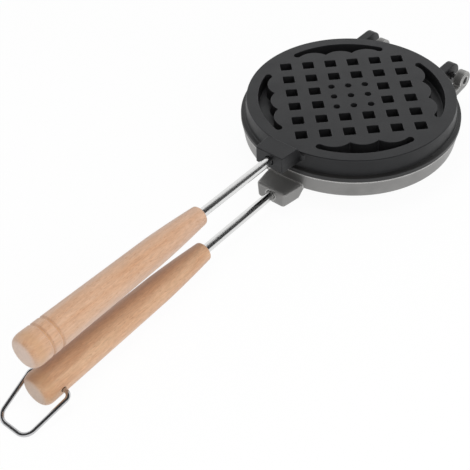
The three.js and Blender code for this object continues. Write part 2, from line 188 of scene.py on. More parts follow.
def finishShading(obj):
    shape = bmesh.new()
    shape.from_mesh(obj.data)
    bmesh.ops.remove_doubles(shape, verts=shape.verts, dist=weld)
    bmesh.ops.dissolve_degenerate(shape, edges=shape.edges, dist=weld)
    shape.to_mesh(obj.data)
    shape.free()
    obj.data.shade_smooth()
    obj.data.set_sharp_from_angle(angle=smoothAngle)
    weighted = obj.modifiers.new("weighted", "WEIGHTED_NORMAL")
    weighted.keep_sharp = True
    weighted.weight = faceWeight
    return applied(obj)


def place(obj, node, body, material, frameMatrix):
    # Puts a finished piece in the part's frame and lets it stand for its CAD node.
    obj.data.transform(frameMatrix)
    obj.name = node.replace("_", " ").title().replace(" ", "_")
    obj.data.materials.clear()
    obj.data.materials.append(material)
    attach(obj, body)
    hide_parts(node)
    low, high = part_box(node)
    own = [vertex.co for vertex in obj.data.vertices]
    slack = [min(v[k] for v in own) - low[k] for k in range(3)]
    slack += [high[k] - max(v[k] for v in own) for k in range(3)]
    triangles = sum(len(polygon.vertices) - 2 for polygon in obj.data.polygons)
    print(f"{node}: {triangles} triangles, inside its CAD box by", [round(s * 1000, 2) for s in slack], "mm")


# Plates, each drawn in its half's own frame
plate = {
    "faceHeight": 0.0143,
    "web": 0.003,  # metal over the hollow and over each stud
    "seam": 0.00015,  # half of the gap between the two rims
    "rimEdge": 0.0003,
    "hollowRadius": 0.0655,
    "hollowDraft": 0.001,
    "hollowFillet": 0.0025,
    "sides": 192,
    "arcSteps": 5,
}
upperCasting = {
    "rimRadius": 0.0737,
    "rimHeight": 0.0029,
    "ledgeRadius": 0.0722,
    "ledgeRise": 0.00035,
    "wallRadius": 0.0708,
    "faceRadius": 0.0698,
    "cove": 0.0011,
    "faceEdge": 0.0006,
    "blockFront": 0.088,
    "frontWidth": 0.021,
    "shoulderWidth": 0.023,
    "neckWidth": 0.0238,
    "rootWidth": 0.032,
    "neck": 0.0705,  # where the flare to the root starts
    "root": 0.0662,
    "neckRound": 0.0042,
    "blockDraft": 0.0,
    "blockRidge": 0.074,
    "blockToe": 0.0705,  # where the slope behind the ridge meets the face
    "blockCorner": 0.0012,
    "blockEdge": 0.0005,
    "knuckleRadius": 0.0085,
    "armLow": 0.0004,
    "armHigh": 0.0085,
}
lowerCasting = {
    "rimRadius": 0.0734,
    "wallRadius": 0.0712,
    "faceEdge": 0.0034,
    "blockFront": 0.0868,
    "frontWidth": 0.0208,
    "shoulderWidth": 0.0244,
    "neckWidth": 0.0258,
    "rootWidth": 0.0376,
    "neck": 0.0688,
    "root": 0.0644,
    "neckRound": 0.0052,
    "blockDraft": 0.001,  # by which each side spreads towards the parting plane
    "blockRidge": 0.0723,
    "blockToe": 0.0687,
    "blockCorner": 0.0024,
    "blockEdge": 0.0016,
    "knuckleRadius": 0.0065,
    "armLow": 0.002,
    "armHigh": 0.01,
}
hollowHeight = plate["faceHeight"] - plate["web"]


def hollowSide():
    return [
        (plate["hollowRadius"], hollowHeight, plate["hollowFillet"]),
        (plate["hollowRadius"] + plate["hollowDraft"], plate["seam"], plate["rimEdge"]),
    ]


def upperProfile():
    ledge = upperCasting["rimHeight"] + upperCasting["ledgeRise"]
    wall = upperCasting["wallRadius"]
    return [
        (plate["hollowRadius"] / 2, hollowHeight, 0),
        *hollowSide(),
        (upperCasting["rimRadius"], plate["seam"], plate["rimEdge"]),
        (upperCasting["rimRadius"], upperCasting["rimHeight"], plate["rimEdge"]),
        (upperCasting["ledgeRadius"], ledge, 0),
        (wall, ledge, upperCasting["cove"]),
        (upperCasting["faceRadius"], plate["faceHeight"], upperCasting["faceEdge"]),
        (wall / 2, plate["faceHeight"], 0),
    ]


def lowerProfile():
    return [
        (plate["hollowRadius"] / 2, hollowHeight, 0),
        *hollowSide(),
        (lowerCasting["rimRadius"], plate["seam"], plate["rimEdge"]),
        (lowerCasting["wallRadius"], plate["faceHeight"], lowerCasting["faceEdge"]),
        (lowerCasting["wallRadius"] / 2, plate["faceHeight"], 0),
    ]


# Handle block of each plate
blockSizes = {
    "shoulder": 0.0757,
    "low": 0.009,
    "high": 0.0203,
    "sink": 0.001,  # by which the slope runs on below the face
    "flankRound": 0.02,
    "arcSteps": 8,
    "edgeSteps": 4,
    "mouthRadius": 0.0035,
    "mouthDepth": 0.0003,
}


def blockOutline(casting, grow):
    half = [
        (-casting["root"], casting["rootWidth"] / 2, 0),
        (-casting["neck"], casting["neckWidth"] / 2 + grow, casting["neckRound"]),
        (-blockSizes["shoulder"], casting["shoulderWidth"] / 2 + grow, blockSizes["flankRound"]),
        (-casting["blockFront"], casting["frontWidth"] / 2 + grow, casting["blockCorner"]),
    ]
    return roundCorners(half + [(x, -y, r) for x, y, r in reversed(half)], blockSizes["arcSteps"])


def block(casting):
    front, ridge, toe = casting["blockFront"], casting["blockRidge"], casting["blockToe"]
    low, high, sink = blockSizes["low"], blockSizes["high"], blockSizes["sink"]
    levels = ((low, casting["blockDraft"]), (high, 0))
    body = skin("block", [[(x, y, z) for x, y in blockOutline(casting, grow)] for z, grow in levels])
    lean = (ridge - toe) / (high - plate["faceHeight"])
    behind = -casting["root"] + overrun * 2
    root = casting["rootWidth"] / 2
    side = [
        (-front - overrun, low - overrun),
        (behind, low - overrun),
        (behind, plate["faceHeight"] - sink),
        (-toe + lean * sink, plate["faceHeight"] - sink),
        (-ridge, high),
        (-ridge, high + overrun),
        (-front - overrun, high + overrun),
    ]
    slab = prism("slab", side, -root - overrun, root + overrun, Matrix.Rotation(quarter, 4, "X"))
    return bevelEdges(carve(body, slab, "INTERSECT"), casting["blockEdge"], blockSizes["edgeSteps"])


# Hinge lugs and pins
hingeSizes = {
    "reach": 0.0793,
    "knuckleWidth": 0.0065,
    "inner": 0.025,
    "outer": 0.0355,
    "armRoot": 0.068,
    "edge": 0.0007,
    "edgeSteps": 3,
    "edgeAngle": math.radians(60),
    "knuckleSteps": 32,
    "pinRadius": 0.0025,
    "pinSeat": 0.005,
    "pinShy": 0.0018,
    "pinEdge": 0.0004,
    "lip": 0.0003,
    "clearance": 0.0003,
    "sides": 48,
}
hingeTurn = Matrix.Translation((hingeSizes["reach"], 0, 0)) @ Matrix.Rotation(quarter, 4, "X")


def lug(casting, near, side):
    radius, low, high = (casting[key] for key in ("knuckleRadius", "armLow", "armHigh"))
    root = math.sqrt(hingeSizes["armRoot"] ** 2 - (near + hingeSizes["knuckleWidth"]) ** 2)
    run = hingeSizes["reach"] - root
    first = math.pi - math.asin(low / radius)
    last = math.pi - math.atan2(high, run) - math.acos(radius / math.hypot(run, high))
    sweep = last - first + fullTurn  # under, round the front and over the top
    steps = hingeSizes["knuckleSteps"]
    outline = [(root, low)]
    for step in range(steps + 1):
        angle = first + sweep * step / steps
        outline.append((hingeSizes["reach"] + radius * math.cos(angle), radius * math.sin(angle)))
    outline.append((root, high))
    far = near + hingeSizes["knuckleWidth"]
    ends = (-far, -near) if side > 0 else (near, far)
    body = prism("lug", outline, *ends, Matrix.Rotation(quarter, 4, "X"))
    return bevelEdges(body, hingeSizes["edge"], hingeSizes["edgeSteps"], hingeSizes["edgeAngle"])


def lugs(casting):
    return joined("lugs", [lug(casting, hingeSizes["outer"], 1), lug(casting, hingeSizes["inner"], -1)])


def hingeBores():
    bore = hingeSizes["pinRadius"] + hingeSizes["clearance"]
    lip = bore + hingeSizes["lip"]
    width = hingeSizes["knuckleWidth"]
    outerFar, innerFar = hingeSizes["outer"] + width, hingeSizes["inner"] + width
    through = [
        (lip, -overrun), (lip, 0), (bore, hingeSizes["lip"]),
        (bore, width - hingeSizes["lip"]), (lip, width), (lip, width + overrun),
    ]
    blind = [(bore, -hingeSizes["pinSeat"]), (bore, -hingeSizes["lip"]), (lip, 0), (lip, overrun)]
    return [
        turned("bore", through, hingeSizes["sides"], hingeTurn @ Matrix.Translation((0, 0, -outerFar))),
        turned("bore", blind, hingeSizes["sides"], hingeTurn @ Matrix.Translation((0, 0, innerFar))),
    ]


def hingePin(name):
    low = hingeSizes["inner"] + hingeSizes["knuckleWidth"] - hingeSizes["pinSeat"] + hingeSizes["clearance"]
    high = hingeSizes["outer"] + hingeSizes["knuckleWidth"] - hingeSizes["pinShy"]
    radius, edge = hingeSizes["pinRadius"], hingeSizes["pinEdge"]
    corners = [(radius / 2, low, 0), (radius, low, edge), (radius, high, edge), (radius / 2, high, 0)]
    profile = roundCorners(corners, hingeSizes["edgeSteps"], closed=False)
    return finishShading(turned(name, profile, hingeSizes["sides"], hingeTurn))


# Rods
rodSizes = {
    "radius": 0.003,
    "height": 0.0145,  # above the parting plane at the block's front
    "splay": math.radians(0.44),
    "seat": 0.016,
    "bare": 0.065,
    "inHandle": 0.09,
    "edge": 0.0005,
    "sides": 48,
    "clearance": 0.0003,
}


def onRod(casting, along=0, out=0):
    # The rod's own frame in its half: Z from the block's front face towards the butt.
    start = Matrix.Translation((-casting["blockFront"], 0, rodSizes["height"]))
    lean = Matrix.Rotation(rodSizes["splay"] - quarter, 4, "Y")
    return start @ lean @ Matrix.Translation((out, 0, along))


def rodBore(casting):
    bore = rodSizes["radius"] + rodSizes["clearance"]
    mouth, depth = blockSizes["mouthRadius"], blockSizes["mouthDepth"]
    corners = [
        (bore, -rodSizes["seat"] - rodSizes["clearance"], 0),
        (bore, -depth, depth / 2),
        (mouth, 0, 0),
        (mouth + overrun, overrun, 0),
    ]
    profile = roundCorners(corners, plate["arcSteps"], closed=False)
    return turned("rod bore", profile, rodSizes["sides"], onRod(casting))


def rod(name, casting):
    radius, edge = rodSizes["radius"], rodSizes["edge"]
    low, high = -rodSizes["seat"], rodSizes["bare"] + rodSizes["inHandle"]
    corners = [(radius / 2, low, 0), (radius, low, edge), (radius, high, edge), (radius / 2, high, 0)]
    profile = roundCorners(corners, plate["arcSteps"], closed=False)
    return finishShading(turned(name, profile, rodSizes["sides"], onRod(casting)))


# Pits outside, studs inside
pattern = {
    "pitch": 0.0155,
    "count": 6,
    "side": 0.00775,
    "corner": 0.0007,
    "cornerSteps": 4,
    "depth": 0.0085,
    "draft": 0.0003,
    "lip": 0.0003,
    "floorFillet": 0.0006,
    "levelSteps": 3,
    "studWall": 0.0019,
    "studEdge": 0.0007,
    "studFillet": 0.0009,
    "dimplePitch": 0.0114,
    "dimpleCount": 3,
    "dimpleRadius": 0.0023,
    "dimpleFloor": 0.0014,
    "dimpleDepth": 0.0038,
    "dimpleWall": 0.0018,
    "dimpleSides": 32,
    "turn": math.radians(45),
}
crescentSizes = {
    "count": 4,
    "radius": 0.062,
    "end": 0.0024,
    "scallop": 0.0133,
    "reach": 0.0405,
    "spacing": 0.0184,
    "buried": 0.0675,  # the stud behind it runs into the wall
    "arcSteps": 14,
}


def squareOutline(grow):
    half = pattern["side"] / 2 + grow
    corner = max(pattern["corner"] + grow, pattern["corner"])
    corners = [(half, -half, corner), (half, half, corner), (-half, half, corner), (-half, -half, corner)]
    return roundCorners(corners, pattern["cornerSteps"])


def arc(x, y, radius, first, last):
    steps = crescentSizes["arcSteps"]
    angles = [first + (last - first) * step / steps for step in range(steps + 1)]
    return [(x + radius * math.cos(a), y + radius * math.sin(a)) for a in angles]


def crescentOutline(grow, outer=0):
    # Three convex scallops inside, one arc outside, and round ends tangent to both.
    radius, reach, spacing = (crescentSizes[key] for key in ("radius", "reach", "spacing"))
    bump = crescentSizes["scallop"] - grow
    end = crescentSizes["end"] + grow
    endReach = radius - crescentSizes["end"]
    away = math.hypot(reach, spacing)
    touch = bump + end
    spread = math.acos((endReach ** 2 + away ** 2 - touch ** 2) / (2 * endReach * away))
    half = math.atan2(spacing, reach) + spread
    endX, endY = endReach * math.cos(half), endReach * math.sin(half)
    lean = math.atan2(endY - spacing, endX - reach)
    cusp = math.asin(spacing / 2 / bump)
    return [
        *arc(0, 0, outer or radius + grow, -half, half)[1:-1],
        *arc(endX, endY, end, half, lean + math.pi),
        *arc(reach, spacing, bump, lean, -cusp),
        *arc(reach, 0, bump, cusp, -cusp)[1:-1],
        *arc(reach, -spacing, bump, cusp, -lean),
        *arc(endX, -endY, end, math.pi - lean, fullTurn - half),
    ]


def pitLevels(depth, draft, lip, fillet):
    # (grow, height) from the floor up, with a round foot and a round lip.
    face = plate["faceHeight"] + hair
    floor = plate["faceHeight"] - depth
    steps = pattern["levelSteps"]
    levels = []
    for step in range(steps + 1):
        angle = quarter * step / steps
        levels.append((-draft - fillet * (1 - math.sin(angle)), floor + fillet * (1 - math.cos(angle))))
    for step in range(steps + 1):
        angle = quarter * step / steps
        levels.append((lip * (1 - math.cos(angle)), face - lip * (1 - math.sin(angle))))
    levels.append((lip, face + overrun))
    return levels


def studLevels(depth, grow, draft, edge, fillet):
    # (grow, height) from the tip up to the web, with a round tip and a fillet at its root.
    tip = plate["faceHeight"] - depth - plate["web"]
    steps = pattern["levelSteps"]
    levels = []
    for step in range(steps + 1):
        angle = quarter * step / steps
        levels.append((grow - draft - edge * (1 - math.sin(angle)), tip + edge * (1 - math.cos(angle))))
    for step in range(steps + 1):
        angle = quarter * step / steps
        levels.append((grow + fillet * (1 - math.cos(angle)), hollowHeight - fillet * (1 - math.sin(angle))))
    levels.append((grow + fillet, hollowHeight + plate["web"] / 2))
    return levels


def stamp(name, levels, outlineOf):
    return skin(name, [[(x, y, height) for x, y in outlineOf(grow)] for grow, height in levels])


def roundOutline(radius):
    angles = [fullTurn * side / pattern["dimpleSides"] for side in range(pattern["dimpleSides"])]
    return [(radius * math.cos(a), radius * math.sin(a)) for a in angles]


def dimpleLevels():
    # The dimple's draft is most of its shape, so its levels give the radius itself.
    face = plate["faceHeight"]
    corners = [
        (pattern["dimpleFloor"] / 2, face - pattern["dimpleDepth"], 0),
        (pattern["dimpleFloor"], face - pattern["dimpleDepth"], pattern["floorFillet"]),
        (pattern["dimpleRadius"], face, pattern["lip"]),
        (pattern["dimpleRadius"] + overrun, face + hair, 0),
        (pattern["dimpleRadius"] + overrun, face + overrun, 0),
    ]
    return roundCorners(corners, pattern["levelSteps"], closed=False)


def bossLevels():
    tip = plate["faceHeight"] - pattern["dimpleDepth"] - plate["web"]
    foot = pattern["dimpleRadius"] + pattern["dimpleWall"]
    corners = [
        (pattern["dimpleFloor"] / 2, tip, 0),
        (pattern["dimpleFloor"] + pattern["dimpleWall"], tip, pattern["studEdge"]),
        (foot, hollowHeight, pattern["studEdge"]),
        (foot + pattern["studFillet"], hollowHeight, 0),
        (foot + pattern["studFillet"], hollowHeight + plate["web"] / 2, 0),
    ]
    return roundCorners(corners, pattern["levelSteps"], closed=False)


def crescentStudOutline(grow):
    return crescentOutline(grow, crescentSizes["buried"])


def castingTools(casting):
    pit = pitLevels(pattern["depth"], pattern["draft"], pattern["lip"], pattern["floorFillet"])
    stud = studLevels(
        pattern["depth"], pattern["studWall"], pattern["draft"], pattern["studEdge"], pattern["studFillet"],
    )
    return {
        "Block": block(casting),
        "Lugs": lugs(casting),
        "Bores": joined("bores", [*hingeBores(), rodBore(casting)]),
        "Pit": stamp("pit", pit, squareOutline),
        "Stud": stamp("stud", stud, squareOutline),
        "Dimple": stamp("dimple", dimpleLevels(), roundOutline),
        "Boss": stamp("boss", bossLevels(), roundOutline),
        "Crescent": stamp("crescent", pit, crescentOutline),
        "Crescent Stud": stamp("crescent stud", stud, crescentStudOutline),
    }


# The tree that turns a plain dish, a block and lugs into a patterned casting
def castingTree():
    tree = bpy.data.node_groups.new("Patterned Casting", "GeometryNodeTree")
    tree.is_modifier = True
    face = tree.interface
    face.new_socket("Geometry", in_out="INPUT", socket_type="NodeSocketGeometry")
    for name in ("Block", "Lugs", "Bores", "Pit", "Stud", "Dimple", "Boss", "Crescent", "Crescent Stud"):
        face.new_socket(name, in_out="INPUT", socket_type="NodeSocketObject")
    for name in ("Pitch", "Dimple Pitch", "Turn"):
        face.new_socket(name, in_out="INPUT", socket_type="NodeSocketFloat")
    for name in ("Count", "Dimple Count", "Crescents"):
        face.new_socket(name, in_out="INPUT", socket_type="NodeSocketInt")
    face.new_socket("Material", in_out="INPUT", socket_type="NodeSocketMaterial")
    face.new_socket("Geometry", in_out="OUTPUT", socket_type="NodeSocketGeometry")
    nodes, links = tree.nodes, tree.links
    given = nodes.new("NodeGroupInput").outputs
    result = nodes.new("NodeGroupOutput")
    add = nodeMaker(nodes, links)

    def shapeOf(name):
        return add("GeometryNodeObjectInfo", [("Object", given[name])]).outputs["Geometry"]

    def gridOf(pitch, count):
        less = add("ShaderNodeMath", [(0, count), (1, 1.0)], operation="SUBTRACT").outputs[0]
        size = add("ShaderNodeMath", [(0, less), (1, pitch)], operation="MULTIPLY").outputs[0]
        grid = add("GeometryNodeMeshGrid", [
            ("Size X", size), ("Size Y", size), ("Vertices X", count), ("Vertices Y", count),
        ])
        return grid.outputs["Mesh"]

    def scattered(points, name, rotation=None):
        inputs = [("Points", points), ("Instance", shapeOf(name))]
        if rotation is not None:
            inputs.append(("Rotation", rotation))
        spread = add("GeometryNodeInstanceOnPoints", inputs).outputs["Instances"]
        around = add("ShaderNodeCombineXYZ", [("Z", given["Turn"])]).outputs[0]
        turnedSet = add("GeometryNodeTransform", [("Geometry", spread), ("Rotation", around)]).outputs[0]
        return add("GeometryNodeRealizeInstances", [("Geometry", turnedSet)]).outputs[0]

    # Pits lie on a square grid whose middle is left to the dimples.
    spot = add("GeometryNodeInputPosition").outputs[0]
    split = add("ShaderNodeSeparateXYZ", [(0, spot)]).outputs
    farX = add("ShaderNodeMath", [(0, split["X"])], operation="ABSOLUTE").outputs[0]
    farY = add("ShaderNodeMath", [(0, split["Y"])], operation="ABSOLUTE").outputs[0]
    far = add("ShaderNodeMath", [(0, farX), (1, farY)], operation="MAXIMUM").outputs[0]
    inner = add("ShaderNodeMath", [(0, far), (1, given["Pitch"])], operation="LESS_THAN").outputs[0]
    grid = gridOf(given["Pitch"], given["Count"])
    ring = add("GeometryNodeDeleteGeometry", [("Geometry", grid), ("Selection", inner)]).outputs[0]
    dots = gridOf(given["Dimple Pitch"], given["Dimple Count"])

    # Crescents all start at the centre and share the full turn.
    spokes = add("GeometryNodeMeshLine", [("Count", given["Crescents"]), ("Offset", (0, 0, 0))]).outputs[0]
    index = add("GeometryNodeInputIndex").outputs[0]
    step = add("ShaderNodeMath", [(0, fullTurn), (1, given["Crescents"])], operation="DIVIDE").outputs[0]
    angle = add("ShaderNodeMath", [(0, index), (1, step)], operation="MULTIPLY").outputs[0]
    spin = add("ShaderNodeCombineXYZ", [("Z", angle)]).outputs[0]

    solid = add("GeometryNodeMeshBoolean", operation="UNION", solver="MANIFOLD")
    for source in (
        given["Geometry"], shapeOf("Block"), shapeOf("Lugs"),
        scattered(ring, "Stud"), scattered(dots, "Boss"), scattered(spokes, "Crescent Stud", spin),
    ):
        links.new(source, solid.inputs["Mesh 2"])
    cut = add("GeometryNodeMeshBoolean", operation="DIFFERENCE", solver="MANIFOLD")
    links.new(solid.outputs["Mesh"], cut.inputs["Mesh 1"])
    for source in (
        shapeOf("Bores"), scattered(ring, "Pit"), scattered(dots, "Dimple"),
        scattered(spokes, "Crescent", spin),
    ):
        links.new(source, cut.inputs["Mesh 2"])
    whole = add("GeometryNodeRealizeInstances", [("Geometry", cut.outputs["Mesh"])]).outputs[0]
    dressed = add("GeometryNodeSetMaterial", [("Geometry", whole), ("Material", given["Material"])])
    links.new(dressed.outputs[0], result.inputs["Geometry"])
    return tree


def castPlate(name, profile, casting, tree, material):
    outline = roundCorners(profile, plate["arcSteps"], closed=False)
    dish = turned(name, outline, plate["sides"])
    tools = castingTools(casting)
    values = {
        **tools, "Pitch": pattern["pitch"], "Count": pattern["count"], "Turn": pattern["turn"],
        "Dimple Pitch": pattern["dimplePitch"], "Dimple Count": pattern["dimpleCount"],
        "Crescents": crescentSizes["count"], "Material": material,
    }
    modifier = dish.modifiers.new("casting", "NODES")
    modifier.node_group = tree
    sockets = {item.name: item.identifier for item in tree.interface.items_tree if item.in_out == "INPUT"}
    for key, value in values.items():
        modifier[sockets[key]] = value
    applied(dish)
    for tool in tools.values():
        bpy.data.objects.remove(tool)
    return finishShading(dish)


# Handles
handleSizes = {
    "length": 0.1385,
    "frontRadius": 0.0062,
    "taperRadius": 0.0081,  # where the straight taper would start without the neck
    "buttRadius": 0.01058,
    "frontRound": 0.0013,
    "frontRoundShare": 0.95,
    "frontSteps": 6,
    "buttDomes": {"upper": (0.006, 7.0), "lower": (0.0054, 5.5)},  # length, and flatness of the end
    "neck": 0.042,
    "neckPower": 1.5,
    "grooves": (0.0201, 0.0133),  # from the butt
    "grooveWidth": 0.0024,
    "grooveDepth": 0.001,
    "groovePower": 1.4,  # a higher one has a sharper bottom
    "grooveSteps": 8,
    "grooveMarginShare": 1.05,
    "sides": 128,
    "ringStep": 0.0012,
    "domeSteps": 22,
}


def handleRadius(along):
    taper = handleSizes["buttRadius"] - handleSizes["taperRadius"]
    neck = max(0, 1 - along / handleSizes["neck"]) ** handleSizes["neckPower"]
    radius = handleSizes["taperRadius"] + taper * along / handleSizes["length"]
    return radius - (handleSizes["taperRadius"] - handleSizes["frontRadius"]) * neck


def grooveDip(along, grooves):
    half = handleSizes["grooveWidth"] / 2
    dip = 0
    for setback in grooves:
        away = abs(along - handleSizes["length"] + setback)
        if away < half:
            dip += handleSizes["grooveDepth"] * math.cos(quarter * away / half) ** handleSizes["groovePower"]
    return dip


def handle(name, casting, grooves, dome, flatness):
    bore = rodSizes["radius"] + rodSizes["clearance"]
    depth = rodSizes["inHandle"] + rodSizes["clearance"]
    length, step = handleSizes["length"], handleSizes["ringStep"]
    frontRound = handleSizes["frontRound"]
    start = handleRadius(frontRound)
    corners = [
        (bore / 2, depth, 0), (bore, depth, 0), (bore, 0, 0),
        (start, 0, frontRound * handleSizes["frontRoundShare"]), (start, frontRound, 0),
    ]
    outline = roundCorners(corners, handleSizes["frontSteps"], closed=False)
    cuts = handleSizes["grooveSteps"]
    stations = [frontRound + step * n for n in range(1, int((length - frontRound - dome) / step) + 1)]
    for setback in grooves:
        middle = length - setback
        half = handleSizes["grooveWidth"] / 2
        stations = [s for s in stations if abs(s - middle) > half * handleSizes["grooveMarginShare"]]
        stations += [middle + half * n / cuts for n in range(-cuts, cuts + 1)]
    for station in sorted(stations):
        outline.append((handleRadius(station) - grooveDip(station, grooves), station))
    last = handleRadius(length - dome)
    for turn in (quarter * n / handleSizes["domeSteps"] for n in range(1, handleSizes["domeSteps"])):
        share = math.cos(turn) ** (2 / flatness)
        outline.append((last * share, length - dome * (1 - math.sin(turn))))
    return turned(name, outline, handleSizes["sides"], onRod(casting, rodSizes["bare"]))


# Latch loop
loopSizes = {
    "wire": 0.00135,
    "setback": 0.0123,
    "offset": 0.0008,
    "reach": 0.0324,
    "rootReach": (0.0161, 0.0148),  # the near leg, then the far one
    "tipWidth": 0.0222,
    "inset": 0.006,
    "rootBend": 0.0036,
    "tipBend": 0.007,
    "droop": math.radians(18.8),
    "sides": 24,
    "bendSteps": 14,
    "clearance": 0.0003,
    "holeLip": 0.0003,
    "lipSteps": 4,
    "drillFlare": 0.0009,  # by which the drill widens outside the wood
    "drillSides": 32,
}
loopStation = rodSizes["bare"] + handleSizes["length"] - loopSizes["setback"]


def drillLoopHoles(grip):
    hole = loopSizes["wire"] + loopSizes["clearance"]
    along = loopStation - rodSizes["bare"]
    surface = math.sqrt(handleRadius(along) ** 2 - loopSizes["offset"] ** 2)
    inner = loopSizes["inset"] - loopSizes["clearance"]
    wide = hole + loopSizes["drillFlare"]
    corners = [
        (hole / 2, inner, 0), (hole, inner, 0), (hole, surface, loopSizes["holeLip"]),
        (wide, surface, 0), (wide, surface + overrun * 2, 0),
    ]
    profile = roundCorners(corners, loopSizes["lipSteps"], closed=False)
    where = onRod(lowerCasting, loopStation, loopSizes["offset"])
    drills = []
    for side in (-1, 1):
        turn = Matrix.Rotation(-side * quarter, 4, "X")
        drills.append(turned("drill", profile, loopSizes["drillSides"], where @ turn))
    return carve(grip, joined("drills", drills), "DIFFERENCE")


def latchLoop(name):
    (near, far), tip = loopSizes["rootReach"], loopSizes["tipWidth"] / 2
    reach, inset = loopSizes["reach"], loopSizes["inset"]
    corners = [
        (0, inset, 0), (0, far, loopSizes["rootBend"]), (-reach, tip, loopSizes["tipBend"]),
        (-reach, -tip, loopSizes["tipBend"]), (0, -near, loopSizes["rootBend"]), (0, -inset, 0),
    ]
    route = [Vector((x, y, 0)) for x, y in roundCorners(corners, loopSizes["bendSteps"], closed=False)]
    rings = []
    for i, point in enumerate(route):
        way = (route[min(i + 1, len(route) - 1)] - route[max(i - 1, 0)]).normalized()
        across = Vector((way.y, -way.x, 0))
        ring = []
        for side in range(loopSizes["sides"]):
            turn = fullTurn * side / loopSizes["sides"]
            rise = Vector((0, 0, math.sin(turn)))
            ring.append(point + (across * math.cos(turn) + rise) * loopSizes["wire"])
        rings.append(ring)
    pivot = onRod(lowerCasting, loopStation, loopSizes["offset"]).translation
    where = Matrix.Translation((pivot.x, 0, -pivot.z)) @ Matrix.Rotation(-loopSizes["droop"], 4, "Y")
    return finishShading(skin(name, rings, where))


# Materials
noiseMiddle = (0.3, 0.7)  # most of a noise lies between these


def startMaterial(name):
    material = bpy.data.materials.new(name)
    material.use_nodes = True
    nodes, links = material.node_tree.nodes, material.node_tree.links
    coordinates = nodes.new("ShaderNodeTexCoord").outputs["Object"]
    return material, nodes["Principled BSDF"], coordinates, nodeMaker(nodes, links), links


def mappedNoise(add, coordinates, scale, stretch=(1, 1, 1), detail=4.0, roughness=0.55):
    mapping = add("ShaderNodeMapping", [("Vector", coordinates), ("Scale", stretch)])
    noise = add("ShaderNodeTexNoise", [
        ("Vector", mapping.outputs[0]), ("Scale", scale), ("Detail", detail), ("Roughness", roughness),
    ])
    return noise.outputs["Fac"]


def rescaled(add, value, fromMin, fromMax, toMin=0.0, toMax=1.0, kind="LINEAR"):
    return add("ShaderNodeMapRange", [
        ("Value", value), ("From Min", fromMin), ("From Max", fromMax), ("To Min", toMin), ("To Max", toMax),
    ], interpolation_type=kind).outputs["Result"]


def maths(add, operation, *values):
    return add("ShaderNodeMath", list(enumerate(values)), operation=operation).outputs[0]


def vectorMaths(add, operation, output, first, second):
    return add("ShaderNodeVectorMath", [(0, first), (1, second)], operation=operation).outputs[output]


def ramp(add, factor, stops):
    node = add("ShaderNodeValToRGB", [("Fac", factor)])
    for element, (position, color) in zip(node.color_ramp.elements, stops):
        element.position = position
        element.color = (*color, 1) if isinstance(color, tuple) else (color, color, color, 1)
    return node.outputs["Color"]


def blended(add, factor, first, second, kind="MIX"):
    second = second if isinstance(second, bpy.types.NodeSocket) else (*second, 1)
    inputs = [("Factor", factor), (6, first), (7, second)]  # a Mix node's sockets for colours
    return add("ShaderNodeMix", inputs, data_type="RGBA", blend_type=kind).outputs[2]


def bumped(add, height, strength, distance, normal=None):
    inputs = [("Height", height), ("Strength", strength), ("Distance", distance)]
    if normal is not None:
        inputs.append(("Normal", normal))
    return add("ShaderNodeBump", inputs).outputs["Normal"]


castSkin = {
    "cloud": {"scale": 60.0, "detail": 6.0},
    "streakStretch": (0.03, 0.03, 1),  # long in the plane of the face, thin across it
    "streakStrength": 0.5,
    "grainStrength": 0.6,
    "grainHeight": 0.0001,
    "fineDetail": 3.0,
    "edgeWearAndHighlightTurn": (0.97, 0.80),  # cosine at an edge, where the edge wear and painted highlight start and where they are full
    "edgeWearAndHighlightSamples": 4,
}
coating = {
    **castSkin,
    "dark": (0.0068, 0.0068, 0.0074),
    "light": (0.0098, 0.0098, 0.0106),
    "roughness": (0.40, 0.50),
    "grainScale": 1500.0,
    "streakScale": 1500.0,
    "streakHeight": 0.00002,
    # painted shade on the outer walls below the face
    "paintedWallShade": (0.0025, 0.0025, 0.0028),
    # painted light in the pits
    "paintedPitLight": (0.0105, 0.0105, 0.011),
    "pitReach": 0.068,  # from the plate's axis
    # painted light on the flange
    "paintedFlangeLight": (0.016, 0.0155, 0.015),
    "wallTop": 0.0427,  # this and the next are heights above the floor
    "flangeTop": 0.0327,
    "wallFade": 0.0012,
    # edge colour: partly wear, partly painted highlight
    "wornAndHighlitEdge": (0.085, 0.085, 0.09),
    "edgeWearAndHighlightWidth": 0.0006,
    "edgeWearAndHighlightShare": 0.8,
    "metallic": 0.0,
    "specular": 0.48,
    "gloss": (0.95, 0.97, 1.0),
}
bareMetal = {
    **castSkin,
    "dark": (0.212, 0.210, 0.206),
    "light": (0.272, 0.269, 0.264),
    "roughness": (0.34, 0.44),
    "grainScale": 1400.0,
    "streakScale": 1100.0,
    "streakHeight": 0.00003,
    # edge colour: partly wear, partly painted highlight
    "wornAndHighlitEdge": (0.78, 0.775, 0.76),
    "edgeWearAndHighlightWidth": 0.0024,
    "edgeWearAndHighlightShare": 1.0,
    "metallic": 0.75,
    "specular": 0.5,
    "gloss": (1.0, 1.0, 1.0),
}


def paintedLightBelowFace(add, coordinates, color, values):
    # Below the face the colour carries painted light: painted shade on the walls, painted light in the pits
    # and on the flange.
    height = add("ShaderNodeSeparateXYZ", [(0, coordinates)]).outputs["Z"]
    level = vectorMaths(add, "MULTIPLY", "Vector", coordinates, (1, 1, 0))
    reach = vectorMaths(add, "DISTANCE", "Value", level, (centre.x, 0, 0))
    within = maths(add, "LESS_THAN", reach, values["pitReach"])
    paintedPitsAndWalls = blended(add, within, (*values["paintedWallShade"], 1), values["paintedPitLight"])
    for top, paintedTone in ((values["wallTop"], paintedPitsAndWalls), (values["flangeTop"], values["paintedFlangeLight"])):
        below = rescaled(add, height, top, top - values["wallFade"], kind="SMOOTHSTEP")
        color = blended(add, below, color, paintedTone)
    return color


